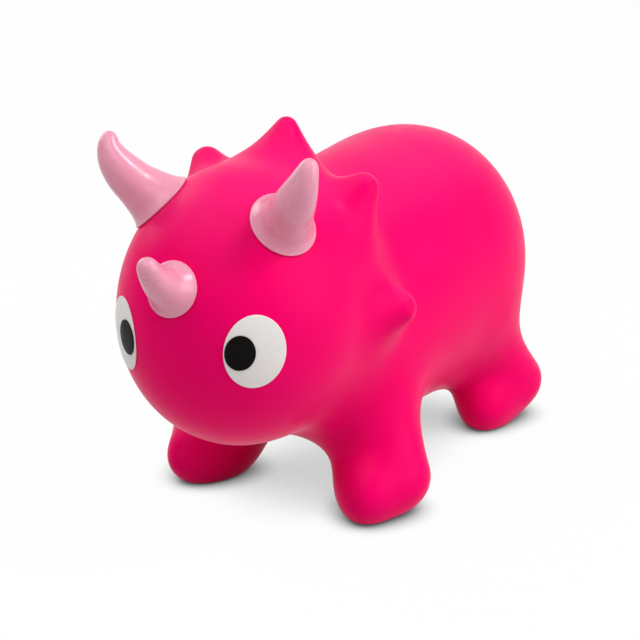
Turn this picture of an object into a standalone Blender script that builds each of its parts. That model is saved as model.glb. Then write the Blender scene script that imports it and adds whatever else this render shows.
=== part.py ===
"""Inflatable ride-on horned dinosaur: air-filled vinyl skin, horns, eyes, belly valve.

The animal faces -Y, its left side is +X and it stands on z = 0. All sizes are
in metres. One smooth form function describes the outside of the skin; the
horns and the eyes are laid on that same form, so every seat follows it.
"""
import math

import bmesh
import bpy
import numpy as np

# Head: a big round front volume and a shorter rear volume under the collar
HEAD_CENTRE = (0.0, -0.0907, 0.2147)
HEAD_RADII = (0.1100, 0.1310, 0.1290)
NAPE_CENTRE = (0.0, -0.0358, 0.2092)
NAPE_RADII = (0.0991, 0.0500, 0.1196)
HEAD_BLEND = 0.045

# Collar: five soft spikes that point away from one focus inside the head
SPIKE_FOCUS = (0.0, -0.0640, 0.1939)
SPIKE_TOP = (0.0, -0.0176, 0.3704)
SPIKE_UPPER = (0.0902, -0.0216, 0.3288)
SPIKE_LOWER = (0.1318, -0.0150, 0.2105)
SPIKE_LENGTH = 0.0527
SPIKE_ROOT_RADIUS = 0.0412
SPIKE_TOP_RADIUS = 0.0105
SPIKE_SIDE_RADIUS = 0.0148
SPIKE_BLEND = 0.028

# Torso: a barrel with round ends, a little fuller towards the rump
TORSO_CENTRE = (0.0, 0.1585, 0.1714)
TORSO_HALF_WIDTH = 0.1201
TORSO_HALF_HEIGHT = 0.1350
TORSO_FRONT_LENGTH = 0.2300
TORSO_REAR_LENGTH = 0.1600
TORSO_SQUARENESS = 2.6
TORSO_SWELL = 0.07
TORSO_TILT = -0.02
NECK_BLEND = 0.060

# Tail: a short stub on the rump, placed from the rear end of the torso
TAIL_ROOT_OFFSET = (0.0, -0.0285, -0.0214)
TAIL_TIP_OFFSET = (0.0, 0.0335, 0.0046)
TAIL_ROOT_RADIUS = 0.036
TAIL_TIP_RADIUS = 0.012
TAIL_BLEND = 0.040

# Legs: tapered limbs that end in long round feet with the toes turned out
FRONT_HIP = (0.0505, 0.0111, 0.1141)
FRONT_ANKLE = (0.1066, 0.0025, 0.0327)
FRONT_HIP_RADIUS = 0.0449
FRONT_ANKLE_RADIUS = 0.0297
FRONT_FOOT_CENTRE = (0.0859, -0.0165, 0.0266)
FRONT_FOOT_RADII = (0.0310, 0.0500, 0.0348)
FRONT_TOE_OUT = 0.36
FRONT_BLEND = 0.1012
REAR_HIP = (0.0719, 0.2142, 0.1164)
REAR_ANKLE = (0.0952, 0.2727, 0.0382)
REAR_HIP_RADIUS = 0.0278
REAR_ANKLE_RADIUS = 0.0258
REAR_FOOT_CENTRE = (0.0795, 0.2459, 0.0247)
REAR_FOOT_RADII = (0.0308, 0.0511, 0.0367)
REAR_TOE_OUT = 0.20
REAR_BLEND = 0.0599
FOOT_BLEND = 0.045
SOLE_ROUNDING = 0.004

# Vinyl wall and the seats on it
WALL = 0.0025
SEAT_GAP = 0.0004
FIT_GAP = 0.0003

# Brow horns: the bend and the tip are placed from the foot on the head
BROW_BASE = (0.0614, -0.1304, 0.3081)
BROW_BEND_OFFSET = (0.0327, -0.0309, 0.0341)
BROW_TIP_OFFSET = (0.0395, -0.0248, 0.0615)
BROW_FOOT_RADIUS = 0.0316
BROW_RADII = (0.0214, 0.0203, 0.0185, 0.0158, 0.0125, 0.0089)
BROW_FLARE_LENGTH = 0.0058

# Nose horn
NOSE_BASE = (0.0, -0.2107, 0.2637)
NOSE_BEND_OFFSET = (0.0, -0.0200, 0.0088)
NOSE_TIP_OFFSET = (0.0, -0.0351, 0.0296)
NOSE_FOOT_RADIUS = 0.0250
NOSE_RADII = (0.0186, 0.0174, 0.0157, 0.0138, 0.0117, 0.0096)
NOSE_FLARE_LENGTH = 0.0050

# Shared make of the horns: stations run from the foot (0) to the tip (1)
HORN_WALL = 0.0025
HORN_LIP = 0.0026
HORN_LIP_EDGE = 0.0012
HORN_LIP_RELIEF = 0.0005
HORN_FOOT_LAND = 0.0050
HORN_SETTLED = 0.30
HORN_OUTER_STATIONS = (0.04, 0.09, 0.16, 0.25, 0.37, 0.50, 0.64, 0.78, 0.90, 1.0)
HORN_INNER_STATIONS = (0.09, 0.25, 0.50, 0.78, 1.0)

# Eyes: flat printed films around a point on the face
EYE_HALF_WIDTH = 0.0285
EYE_HALF_HEIGHT = 0.0345
EYE_LEFT = (0.0685, -0.1883, 0.2125)
EYE_RIGHT = (-0.0598, -0.2004, 0.2087)
PUPIL_HALF_WIDTH = 0.0136
PUPIL_HALF_HEIGHT = 0.0160
PUPIL_INSET = 0.0079
PUPIL_FORWARD = 0.0110
PUPIL_RISE = 0.0009
FILM = 0.0006

# Valve in the belly
VALVE_Y = 0.135
BOSS_RADIUS = 0.0200
BOSS_PROUD = 0.0015
BOSS_INNER = 0.0045
BORE_RADIUS = 0.0100
SEAT_FLANGE_RADIUS = 0.0150
SEAT_FLANGE = 0.0016
SEAT_LENGTH = 0.0150
SEAT_BORE_RADIUS = 0.0046
SEAT_EDGE = 0.0007
PLUG_FLANGE_RADIUS = 0.0110
PLUG_FLANGE = 0.0022
PLUG_LENGTH = 0.0132
PLUG_NOSE_STEP = 0.0016
PLUG_WAIST = 0.0006
PLUG_WAIST_HEIGHTS = (0.0030, 0.0042, 0.0066, 0.0078, 0.0096)
PLUG_TAB_REACH = 0.0150
PLUG_TAB_HALF_WIDTH = 0.0040
PLUG_TAB_CORNER = 0.0020
PLUG_TAB_INSET = 0.0004

# Facets
FIELD_LOW = (-0.162, -0.250, -0.018)
FIELD_HIGH = (0.162, 0.390, 0.400)
GRID_OUTER = 0.0150
GRID_INNER = 0.0180
CHORD_OUTER = 0.0006
CHORD_INNER = 0.0016
REFINEMENTS = 3
PINCH_ROUNDS = 3
OUTER_FACETS = 5600
INNER_FACETS = 2600
SOLE_SNAP = 0.0004
PROBE = 0.0003

SKIN_COLOUR = (0.855, 0.002, 0.130, 1.0)
HORN_COLOUR = (0.790, 0.350, 0.440, 1.0)
WHITE_COLOUR = (0.800, 0.760, 0.730, 1.0)
BLACK_COLOUR = (0.006, 0.005, 0.005, 1.0)
SEAT_COLOUR = (0.720, 0.010, 0.120, 1.0)
PLUG_COLOUR = (0.820, 0.820, 0.800, 1.0)


def blend(a, b, width):
    """Join two distance fields with a fillet."""
    h = np.maximum(width - np.abs(a - b), 0.0) / width
    return np.minimum(a, b) - h ** 3 * width / 6.0


def ellipsoid(points, centre, radii):
    q = points - np.array(centre)
    r = np.array(radii)
    k0 = np.linalg.norm(q / r, axis=1)
    k1 = np.linalg.norm(q / (r * r), axis=1)
    return k0 * (k0 - 1.0) / np.maximum(k1, 1e-9)


def tapered(points, start, end, start_radius, end_radius):
    """Distance to a tapered limb with round ends."""
    a = np.array(start, float)
    axis = np.array(end, float) - a
    length = np.linalg.norm(axis)
    axis = axis / length
    rel = points - a
    along = rel @ axis
    across = np.linalg.norm(rel - along[:, None] * axis, axis=1)
    slope = (start_radius - end_radius) / length
    cosine = math.sqrt(max(1.0 - slope * slope, 0.0))
    shift = along * cosine - across * slope
    side = across * cosine + along * slope - start_radius
    low = np.hypot(across, along) - start_radius
    high = np.hypot(across, along - length) - end_radius
    return np.where(shift < 0.0, low, np.where(shift > length * cosine, high, side))


def spike(points, tip, tip_radius):
    tip = np.array(tip)
    axis = tip - np.array(SPIKE_FOCUS)
    axis = axis / np.linalg.norm(axis)
    end = tip - axis * tip_radius
    root = tip - axis * (tip_radius + SPIKE_LENGTH)
    return tapered(points, root, end, SPIKE_ROOT_RADIUS, tip_radius)


def head(points, mirrored):
    d = ellipsoid(points, HEAD_CENTRE, HEAD_RADII)
    d = blend(d, ellipsoid(points, NAPE_CENTRE, NAPE_RADII), HEAD_BLEND)
    d = blend(d, spike(points, SPIKE_TOP, SPIKE_TOP_RADIUS), SPIKE_BLEND)
    d = blend(d, spike(mirrored, SPIKE_UPPER, SPIKE_SIDE_RADIUS), SPIKE_BLEND)
    return blend(d, spike(mirrored, SPIKE_LOWER, SPIKE_SIDE_RADIUS), SPIKE_BLEND)


def torso(points):
    """Distance to a barrel whose long section is squarer than an ellipse."""
    q = points - np.array(TORSO_CENTRE)
    along = q[:, 1]
    length = np.where(along < 0.0, TORSO_FRONT_LENGTH, TORSO_REAR_LENGTH)
    swell = 1.0 + TORSO_SWELL * np.clip(along / length, -1.2, 1.2)
    wide = TORSO_HALF_WIDTH * swell
    tall = TORSO_HALF_HEIGHT * swell
    rise = q[:, 2] - TORSO_TILT * along
    section = np.hypot(q[:, 0] / wide, rise / tall) + 1e-9
    reach = np.abs(along) / length + 1e-9
    power = TORSO_SQUARENESS
    total = (section ** power + reach ** power) ** (1.0 / power)
    section_slope = np.hypot(q[:, 0] / wide ** 2, rise / tall ** 2) / section
    steep = np.hypot(section ** (power - 1.0) * section_slope, reach ** (power - 1.0) / length)
    steep = steep * total ** (1.0 - power)
    return (total - 1.0) / np.maximum(steep, 0.1)


def leg(mirrored, hip, ankle, hip_radius, ankle_radius, foot, foot_radii, toe_out):
    """Limb with an ellipsoid foot that is turned about the upright axis."""
    limb = tapered(mirrored, hip, ankle, hip_radius, ankle_radius)
    q = mirrored - np.array(foot)
    cosine = math.cos(toe_out)
    sine = math.sin(toe_out)
    across = cosine * q[:, 0] + sine * q[:, 1]
    along = cosine * q[:, 1] - sine * q[:, 0]
    footed = np.stack((across, along, q[:, 2]), 1)
    return blend(limb, ellipsoid(footed, (0.0, 0.0, 0.0), foot_radii), FOOT_BLEND)


def form(points):
    """Field of the outside of the skin: negative inside, zero on the skin."""
    mirrored = points.copy()
    mirrored[:, 0] = np.abs(points[:, 0])
    body = torso(points)
    rump = np.array(TORSO_CENTRE) + np.array((0.0, TORSO_REAR_LENGTH, 0.0))
    tail = tapered(points, rump + np.array(TAIL_ROOT_OFFSET), rump + np.array(TAIL_TIP_OFFSET),
                   TAIL_ROOT_RADIUS, TAIL_TIP_RADIUS)
    body = blend(body, tail, TAIL_BLEND)
    front = leg(mirrored, FRONT_HIP, FRONT_ANKLE, FRONT_HIP_RADIUS, FRONT_ANKLE_RADIUS,
                FRONT_FOOT_CENTRE, FRONT_FOOT_RADII, FRONT_TOE_OUT)
    body = blend(body, front, FRONT_BLEND)
    rear = leg(mirrored, REAR_HIP, REAR_ANKLE, REAR_HIP_RADIUS, REAR_ANKLE_RADIUS,
               REAR_FOOT_CENTRE, REAR_FOOT_RADII, REAR_TOE_OUT)
    body = blend(body, rear, REAR_BLEND)
    whole = blend(head(points, mirrored), body, NECK_BLEND)
    return -blend(-whole, points[:, 2], SOLE_ROUNDING)


def slope(points):
    grad = np.empty_like(points)
    for axis in range(3):
        step = np.zeros(3)
        step[axis] = PROBE
        grad[:, axis] = (form(points + step) - form(points - step)) / (2.0 * PROBE)
    return grad


def settle(points, level, rounds=6):
    """Move points along the slope of the form until they lie at this height."""
    out = np.array(points, float)
    for _ in range(rounds):
        grad = slope(out)
        size = np.maximum(np.linalg.norm(grad, axis=1), 0.2)
        step = np.clip(form(out) / size - level, -0.01, 0.01)
        out -= grad / size[:, None] * step[:, None]
    return out


def normal_at(point):
    grad = slope(np.array([point]))[0]
    return grad / np.linalg.norm(grad)


def square_corners(values, u, v):
    """Four views of the grid, one for each corner of the squares across u and v."""
    corners = []
    for du, dv in ((0, 0), (1, 0), (1, 1), (0, 1)):
        cut = [slice(None)] * 3
        cut[u] = slice(du, values.shape[u] - 1 + du)
        cut[v] = slice(dv, values.shape[v] - 1 + dv)
        corners.append(values[tuple(cut)])
    return corners


def fill_pinches(values):
    """Fill grid squares whose corners alternate, where two sheets would share an edge."""
    for _ in range(PINCH_ROUNDS):
        for u, v in ((0, 1), (1, 2), (2, 0)):
            corners = square_corners(values, u, v)
            inside = [corner < 0.0 for corner in corners]
            alternate = (inside[0] == inside[2]) & (inside[1] == inside[3])
            pinched = alternate & (inside[0] != inside[1])
            for corner in corners:
                corner[pinched] = np.minimum(corner[pinched], -PROBE)


def net_vertices(values, low, size):
    """One vertex in every grid cell that the surface crosses."""
    inside = values < 0.0
    cells = tuple(n - 1 for n in values.shape)
    total = np.zeros(cells + (3,))
    count = np.zeros(cells)
    for axis in range(3):
        others = [a for a in range(3) if a != axis]
        for first in (0, 1):
            for second in (0, 1):
                start = [0, 0, 0]
                start[others[0]] = first
                start[others[1]] = second
                stop = list(start)
                stop[axis] = 1
                a = tuple(slice(s, s + c) for s, c in zip(start, cells))
                b = tuple(slice(s, s + c) for s, c in zip(stop, cells))
                cut = inside[a] != inside[b]
                span = np.where(cut, values[a] - values[b], 1.0)
                part = np.where(cut, values[a] / span, 0.0)
                for k in range(3):
                    place = part if k == axis else float(start[k])
                    total[..., k] += np.where(cut, place, 0.0)
                count += cut
    used = count > 0
    index = np.full(cells, -1)
    index[used] = np.arange(int(used.sum()))
    corner = np.stack(np.nonzero(used), 1)
    points = low + (corner + total[used] / count[used][:, None]) * size
    return points, index, inside


def net_faces(index, inside):
    """One quad around every grid edge that the surface crosses."""
    faces = []
    for axis in range(3):
        u = (axis + 1) % 3
        v = (axis + 2) % 3
        near = [slice(1, -1)] * 3
        near[axis] = slice(0, -1)
        far = list(near)
        far[axis] = slice(1, None)
        start = inside[tuple(near)]
        end = inside[tuple(far)]
        cut = np.stack(np.nonzero(start != end), 1)
        outward = start[tuple(cut.T)]
        cell = cut + 1
        cell[:, axis] -= 1
        ring = []
        for du, dv in ((1, 1), (0, 1), (0, 0), (1, 0)):
            at = cell.copy()
            at[:, u] -= du
            at[:, v] -= dv
            ring.append(index[tuple(at.T)])
        quad = np.stack(ring, 1)
        faces.append(np.where(outward[:, None], quad, quad[:, ::-1]))
    return np.concatenate(faces)


def neighbour_mean(points, faces):
    total = np.zeros_like(points)
    count = np.zeros(len(points))
    sides = faces.shape[1]
    for k in range(sides):
        a = faces[:, k]
        b = faces[:, (k + 1) % sides]
        np.add.at(total, a, points[b])
        np.add.at(total, b, points[a])
        np.add.at(count, a, 1.0)
        np.add.at(count, b, 1.0)
    return total / count[:, None]


def form_shell(size, level):
    """Even quads over the form, settled at this height above the skin."""
    low = np.array(FIELD_LOW) - size / 2.0
    steps = np.ceil((np.array(FIELD_HIGH) - low) / size).astype(int) + 1
    axes = [low[k] + size * np.arange(steps[k]) for k in range(3)]
    grid = np.stack(np.meshgrid(*axes, indexing="ij"), 3).reshape(-1, 3)
    values = form(grid).reshape(tuple(steps)) - level
    fill_pinches(values)
    points, index, inside = net_vertices(values, low, size)
    faces = net_faces(index, inside)
    for _ in range(4):
        points = settle(neighbour_mean(points, faces), level, 2)
    return settle(points, level), faces


def new_mesh(name, points, faces):
    mesh = bpy.data.meshes.new(name)
    mesh.from_pydata([tuple(p) for p in points], [], [tuple(int(i) for i in f) for f in faces])
    mesh.validate()
    mesh.update()
    return mesh


def add_object(name, mesh):
    obj = bpy.data.objects.new(name, mesh)
    bpy.context.scene.collection.objects.link(obj)
    return obj


def freeze(obj):
    """Replace the mesh of the object by its evaluated mesh."""
    bpy.context.view_layer.update()
    graph = bpy.context.evaluated_depsgraph_get()
    mesh = bpy.data.meshes.new_from_object(obj.evaluated_get(graph))
    obj.modifiers.clear()
    obj.data = mesh


def settle_corners(work, level):
    """Make every facet a triangle with its corners at this height."""
    bmesh.ops.triangulate(work, faces=list(work.faces))
    corners = settle([tuple(vert.co) for vert in work.verts], level)
    if level == 0.0:
        corners[corners[:, 2] < SOLE_SNAP, 2] = 0.0
    for vert, place in zip(work.verts, corners):
        vert.co = place


def faceted(name, size, level, chord, facets):
    """Form surface in even facets, cut smaller where it bends, then thinned out."""
    points, faces = form_shell(size, level)
    obj = add_object(name, new_mesh(name, points, faces))
    work = bmesh.new()
    work.from_mesh(obj.data)
    settle_corners(work, level)
    for _ in range(REFINEMENTS):
        edges = list(work.edges)
        middles = np.array([tuple((e.verts[0].co + e.verts[1].co) / 2.0) for e in edges])
        off = np.linalg.norm(settle(middles, level, 3) - middles, axis=1)
        far = [edge for edge, distance in zip(edges, off) if distance > chord]
        bmesh.ops.subdivide_edges(work, edges=far, cuts=1)
        settle_corners(work, level)
    work.to_mesh(obj.data)
    work.free()
    thin = obj.modifiers.new("thin", "DECIMATE")
    thin.ratio = facets / len(obj.data.polygons)
    freeze(obj)
    work = bmesh.new()
    work.from_mesh(obj.data)
    settle_corners(work, level)
    work.to_mesh(obj.data)
    work.free()
    return obj


def boolean(target, cutter, operation):
    step = target.modifiers.new(operation.lower(), "BOOLEAN")
    step.operation = operation
    step.solver = "EXACT"
    step.object = cutter
    freeze(target)
    bpy.data.objects.remove(cutter, do_unlink=True)


def turned(name, profile, place, segments):
    """Solid of revolution about +Z; the profile starts and ends on the axis."""
    points = []
    faces = []
    for radius, z in profile[1:-1]:
        for k in range(segments):
            angle = 2.0 * math.pi * k / segments
            points.append((radius * math.cos(angle), radius * math.sin(angle), z))
    rings = len(profile) - 2
    for r in range(rings - 1):
        for k in range(segments):
            n = (k + 1) % segments
            faces.append((r * segments + k, r * segments + n,
                          (r + 1) * segments + n, (r + 1) * segments + k))
    bottom = len(points)
    points.append((0.0, 0.0, profile[0][1]))
    points.append((0.0, 0.0, profile[-1][1]))
    last = (rings - 1) * segments
    for k in range(segments):
        n = (k + 1) % segments
        faces.append((bottom, n, k))
        faces.append((bottom + 1, last + k, last + n))
    placed = np.array(points) + np.array(place)
    return add_object(name, new_mesh(name, placed, faces))


def turned_ring(name, profile, place, segments):
    """Ring of revolution about +Z from a closed profile, outside going up."""
    points = []
    faces = []
    rings = len(profile)
    for radius, z in profile:
        for k in range(segments):
            angle = 2.0 * math.pi * k / segments
            points.append((radius * math.cos(angle), radius * math.sin(angle), z))
    for r in range(rings):
        up = (r + 1) % rings
        for k in range(segments):
            n = (k + 1) % segments
            faces.append((r * segments + k, r * segments + n,
                          up * segments + n, up * segments + k))
    placed = np.array(points) + np.array(place)
    return add_object(name, new_mesh(name, placed, faces))


def close_rings(rings, start, end):
    """Closed surface over a row of equal rings with a point at either end."""
    segments = len(rings[0])
    points = np.concatenate(list(rings) + [np.array([start, end])])
    faces = []
    for r in range(len(rings) - 1):
        for k in range(segments):
            n = (k + 1) % segments
            faces.append((r * segments + k, r * segments + n,
                          (r + 1) * segments + n, (r + 1) * segments + k))
    first = len(points) - 2
    last = (len(rings) - 1) * segments
    for k in range(segments):
        n = (k + 1) % segments
        faces.append((first, n, k))
        faces.append((first + 1, last + k, last + n))
    return points, faces


def film(name, centre, half_width, half_height, level, segments, rings):
    """Thin printed film that follows the head."""
    middle = settle(np.array([centre]), 0.0, 12)[0]
    out = normal_at(middle)
    across = np.cross((0.0, 0.0, 1.0), out)
    across = across / np.linalg.norm(across)
    up = np.cross(out, across)
    angles = 2.0 * math.pi * np.arange(segments) / segments
    top = []
    low = []
    for r in range(rings, 0, -1):
        part = r / rings
        flat = (middle + np.outer(np.cos(angles) * half_width * part, across)
                + np.outer(np.sin(angles) * half_height * part, up))
        top.append(settle(flat, level + FILM))
        low.append(settle(flat, level))
    centre_low = settle(np.array([middle]), level)[0]
    centre_top = settle(np.array([middle]), level + FILM)[0]
    points, faces = close_rings(low[::-1] + top, centre_low, centre_top)
    return add_object(name, new_mesh(name, points, faces))


def spine_at(base, bend, tip, s):
    point = (1 - s) ** 2 * base + 2 * s * (1 - s) * bend + s * s * tip
    along = (1 - s) * (bend - base) + s * (tip - bend)
    return point, along / np.linalg.norm(along)


def ring_dirs(along, segments):
    """Unit directions around an axis, the first one nearest to +X."""
    e1 = np.array((1.0, 0.0, 0.0)) - along[0] * along
    e1 = e1 / np.linalg.norm(e1)
    e2 = np.cross(along, e1)
    angles = 2.0 * math.pi * np.arange(segments) / segments
    return np.outer(np.cos(angles), e1) + np.outer(np.sin(angles), e2)


def horn_ring(base, bend, tip, s, radius, height, segments):
    """Ring that follows the head near the foot and is flat higher up."""
    out = normal_at(base)
    point, along = spine_at(base, bend, tip, s)
    on_head = settle(base + radius * ring_dirs(out, segments), height)
    drift = point - base
    drift = drift - out * (drift @ out)
    on_head = settle(on_head + drift, height)
    flat = point + radius * ring_dirs(along, segments)
    share = min(max(s / HORN_SETTLED, 0.0), 1.0)
    share = share * share * (3.0 - 2.0 * share)
    return (1.0 - share) * on_head + share * flat


def horn(name, base, bend_offset, tip_offset, foot_radius, radii, flare, segments, mirror):
    """Hollow horn with a flared foot that is open towards the head."""
    base = settle(np.array([base]), 0.0)[0]
    bend = base + np.array(bend_offset)
    tip = base + np.array(tip_offset)
    length = np.linalg.norm(bend - base) + np.linalg.norm(tip - bend)
    out = normal_at(base)

    def shank(s):
        return float(np.interp(s, np.linspace(0.0, 1.0, len(radii)), radii))

    spread = foot_radius - HORN_LIP_EDGE - shank(0.0)
    outer = []
    for cut, height in ((HORN_LIP_RELIEF, 0.0), (0.0, HORN_LIP / 2.0), (HORN_LIP_EDGE, HORN_LIP)):
        outer.append(horn_ring(base, bend, tip, 0.0, foot_radius - cut, SEAT_GAP + height,
                               segments))
    inner = [horn_ring(base, bend, tip, 0.0, foot_radius - HORN_FOOT_LAND, SEAT_GAP, segments)]
    for s in HORN_OUTER_STATIONS:
        point = spine_at(base, bend, tip, s)[0]
        height = max((point - base) @ out, 0.0) + SEAT_GAP + HORN_LIP * (1.0 - s)
        radius = shank(s) + spread * math.exp(-s * length / flare)
        outer.append(horn_ring(base, bend, tip, s, radius, height, segments))
        if s in HORN_INNER_STATIONS:
            inner.append(horn_ring(base, bend, tip, s, radius - HORN_WALL, height, segments))
    along = spine_at(base, bend, tip, 1.0)[1]
    dirs = ring_dirs(along, segments)
    top_radius = radii[-1]
    for angle in (30.0, 60.0):
        turn = math.radians(angle)
        outer.append(tip + along * top_radius * math.sin(turn) + dirs * top_radius * math.cos(turn))
    end = tip + along * top_radius
    inner_end = tip + along * (top_radius - HORN_WALL)
    points, faces = close_rings(inner[::-1] + outer, inner_end, end)
    if mirror:
        points = points * np.array((-1.0, 1.0, 1.0))
        faces = [face[::-1] for face in faces]
    return add_object(name, new_mesh(name, points, faces))


def belly_height():
    """Height of the lowest point of the belly above the floor at the valve."""
    start = np.array([[0.0, VALVE_Y, TORSO_CENTRE[2] - TORSO_HALF_HEIGHT]])
    return settle(start, 0.0, 20)[0][2]


def build_skin(belly):
    """Air-tight skin with a thick boss around the bore for the valve."""
    skin = faceted("body_skin", GRID_OUTER, 0.0, CHORD_OUTER, OUTER_FACETS)
    cavity = faceted("cavity", GRID_INNER, -WALL, CHORD_INNER, INNER_FACETS)
    boolean(skin, cavity, "DIFFERENCE")
    low = belly - BOSS_PROUD
    top = belly + BOSS_INNER
    boss = turned("boss", ((0.0, low), (BOSS_RADIUS - SEAT_EDGE, low),
                           (BOSS_RADIUS, low + SEAT_EDGE), (BOSS_RADIUS, top), (0.0, top)),
                  (0.0, VALVE_Y, 0.0), 40)
    boolean(skin, boss, "UNION")
    low -= BORE_RADIUS
    top += BORE_RADIUS
    bore = turned("bore", ((0.0, low), (BORE_RADIUS, low), (BORE_RADIUS, top), (0.0, top)),
                  (0.0, VALVE_Y, 0.0), 40)
    boolean(skin, bore, "DIFFERENCE")
    return skin


def build_valve(belly):
    """Flanged seat in the bore and the stopper that pushes up into it."""
    face = belly - BOSS_PROUD - FIT_GAP
    low = face - SEAT_FLANGE
    top = low + SEAT_LENGTH
    neck = BORE_RADIUS - FIT_GAP
    seat = turned_ring("valve_seat", (
        (SEAT_BORE_RADIUS, low), (SEAT_FLANGE_RADIUS - SEAT_EDGE, low),
        (SEAT_FLANGE_RADIUS, low + SEAT_EDGE), (SEAT_FLANGE_RADIUS, face),
        (neck, face), (neck, top - SEAT_EDGE), (neck - SEAT_EDGE, top), (SEAT_BORE_RADIUS, top)),
        (0.0, VALVE_Y, 0.0), 36)
    cap_top = low - FIT_GAP
    cap_low = cap_top - PLUG_FLANGE
    stem = SEAT_BORE_RADIUS - FIT_GAP
    stem_cuts = (0.0, PLUG_WAIST, PLUG_WAIST, 0.0, 0.0)
    stem_rings = [(stem - cut, cap_top + h) for cut, h in zip(stem_cuts, PLUG_WAIST_HEIGHTS)]
    plug = turned("valve_plug", (
        (0.0, cap_low), (PLUG_FLANGE_RADIUS - SEAT_EDGE, cap_low),
        (PLUG_FLANGE_RADIUS, cap_low + SEAT_EDGE), (PLUG_FLANGE_RADIUS, cap_top),
        (stem, cap_top), *stem_rings, (stem - PLUG_NOSE_STEP, cap_top + PLUG_LENGTH),
        (0.0, cap_top + PLUG_LENGTH)), (0.0, VALVE_Y, 0.0), 32)
    half = PLUG_TAB_HALF_WIDTH
    corner = PLUG_TAB_CORNER
    tab_points = [(x, y + VALVE_Y, z)
                  for z in (cap_low + PLUG_TAB_INSET, cap_top - PLUG_TAB_INSET)
                  for x, y in ((-half, 0.0), (half, 0.0), (half, PLUG_TAB_REACH - corner),
                               (half - corner, PLUG_TAB_REACH), (corner - half, PLUG_TAB_REACH),
                               (-half, PLUG_TAB_REACH - corner))]
    tab_faces = [(5, 4, 3, 2, 1, 0), (6, 7, 8, 9, 10, 11)]
    tab_faces += [(k, (k + 1) % 6, (k + 1) % 6 + 6, k + 6) for k in range(6)]
    tab = add_object("tab", new_mesh("tab", tab_points, tab_faces))
    boolean(plug, tab, "UNION")
    return seat, plug


def paint(obj, colour, roughness):
    material = bpy.data.materials.new(obj.name)
    material.use_nodes = True
    shader = material.node_tree.nodes["Principled BSDF"]
    shader.inputs["Base Color"].default_value = colour
    shader.inputs["Roughness"].default_value = roughness
    shader.inputs["Metallic"].default_value = 0.0
    obj.data.materials.clear()
    obj.data.materials.append(material)


def centre_lengthwise(objects):
    """Put the middle of the toy's length on the y = 0 plane."""
    low = min(vert.co.y for obj in objects for vert in obj.data.vertices)
    high = max(vert.co.y for obj in objects for vert in obj.data.vertices)
    for obj in objects:
        for vert in obj.data.vertices:
            vert.co.y -= (low + high) / 2.0


def main():
    for obj in list(bpy.data.objects):
        bpy.data.objects.remove(obj, do_unlink=True)
    belly = belly_height()
    skin = build_skin(belly)
    seat, plug = build_valve(belly)
    brow = (BROW_BASE, BROW_BEND_OFFSET, BROW_TIP_OFFSET, BROW_FOOT_RADIUS, BROW_RADII,
            BROW_FLARE_LENGTH, 24)
    horn_left = horn("brow_horn_left", *brow, False)
    horn_right = horn("brow_horn_right", *brow, True)
    nose = horn("nose_horn", NOSE_BASE, NOSE_BEND_OFFSET, NOSE_TIP_OFFSET, NOSE_FOOT_RADIUS,
                NOSE_RADII, NOSE_FLARE_LENGTH, 22, False)
    objects = [skin, seat, plug, horn_left, horn_right, nose]
    paint(skin, SKIN_COLOUR, 0.42)
    paint(seat, SEAT_COLOUR, 0.50)
    paint(plug, PLUG_COLOUR, 0.45)
    for part in (horn_left, horn_right, nose):
        paint(part, HORN_COLOUR, 0.22)
    for side, place in (("left", EYE_LEFT), ("right", EYE_RIGHT)):
        inward = -math.copysign(PUPIL_INSET, place[0])
        gaze = (place[0] + inward, place[1] - PUPIL_FORWARD, place[2] + PUPIL_RISE)
        white = film("eye_white_" + side, place, EYE_HALF_WIDTH, EYE_HALF_HEIGHT, SEAT_GAP, 32, 4)
        pupil = film("pupil_" + side, gaze, PUPIL_HALF_WIDTH, PUPIL_HALF_HEIGHT,
                     SEAT_GAP + FILM + FIT_GAP, 24, 3)
        paint(white, WHITE_COLOUR, 0.40)
        paint(pupil, BLACK_COLOUR, 0.35)
        objects += [white, pupil]
    centre_lengthwise(objects)
    for obj in objects:
        obj.data.polygons.foreach_set("use_smooth", [True] * len(obj.data.polygons))
        obj.data.update()


main()
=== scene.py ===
"""Studio view of an inflatable ride-on horned dinosaur.

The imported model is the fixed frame. Every visible piece is rebuilt here as a
finer mesh on the same form as the solids. The animal faces -Y, its left side is
+X and it stands on z = 0. Sizes are in metres.
"""
import math

import bpy
import numpy as np
from mathutils import Matrix, Vector


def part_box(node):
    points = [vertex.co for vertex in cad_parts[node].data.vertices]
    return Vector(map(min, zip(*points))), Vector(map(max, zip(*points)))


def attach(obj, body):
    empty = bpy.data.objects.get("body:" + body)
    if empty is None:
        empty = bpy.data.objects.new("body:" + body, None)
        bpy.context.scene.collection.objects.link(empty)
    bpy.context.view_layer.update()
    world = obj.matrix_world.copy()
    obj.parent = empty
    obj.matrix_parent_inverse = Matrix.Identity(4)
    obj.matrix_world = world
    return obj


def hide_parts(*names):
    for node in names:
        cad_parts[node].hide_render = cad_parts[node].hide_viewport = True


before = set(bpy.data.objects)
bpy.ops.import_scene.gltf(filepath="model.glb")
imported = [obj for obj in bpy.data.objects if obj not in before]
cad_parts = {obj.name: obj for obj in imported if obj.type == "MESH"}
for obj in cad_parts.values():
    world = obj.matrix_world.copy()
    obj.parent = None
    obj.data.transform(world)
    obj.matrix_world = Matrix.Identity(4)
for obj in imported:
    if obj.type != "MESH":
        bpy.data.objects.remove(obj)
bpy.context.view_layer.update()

# Head: a big round front volume and a shorter rear volume under the collar
HEAD_CENTRE = (0.0, -0.0907, 0.2147)
HEAD_RADII = (0.1100, 0.1310, 0.1290)
NAPE_CENTRE = (0.0, -0.0358, 0.2092)
NAPE_RADII = (0.0991, 0.0500, 0.1196)
HEAD_BLEND = 0.045

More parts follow.
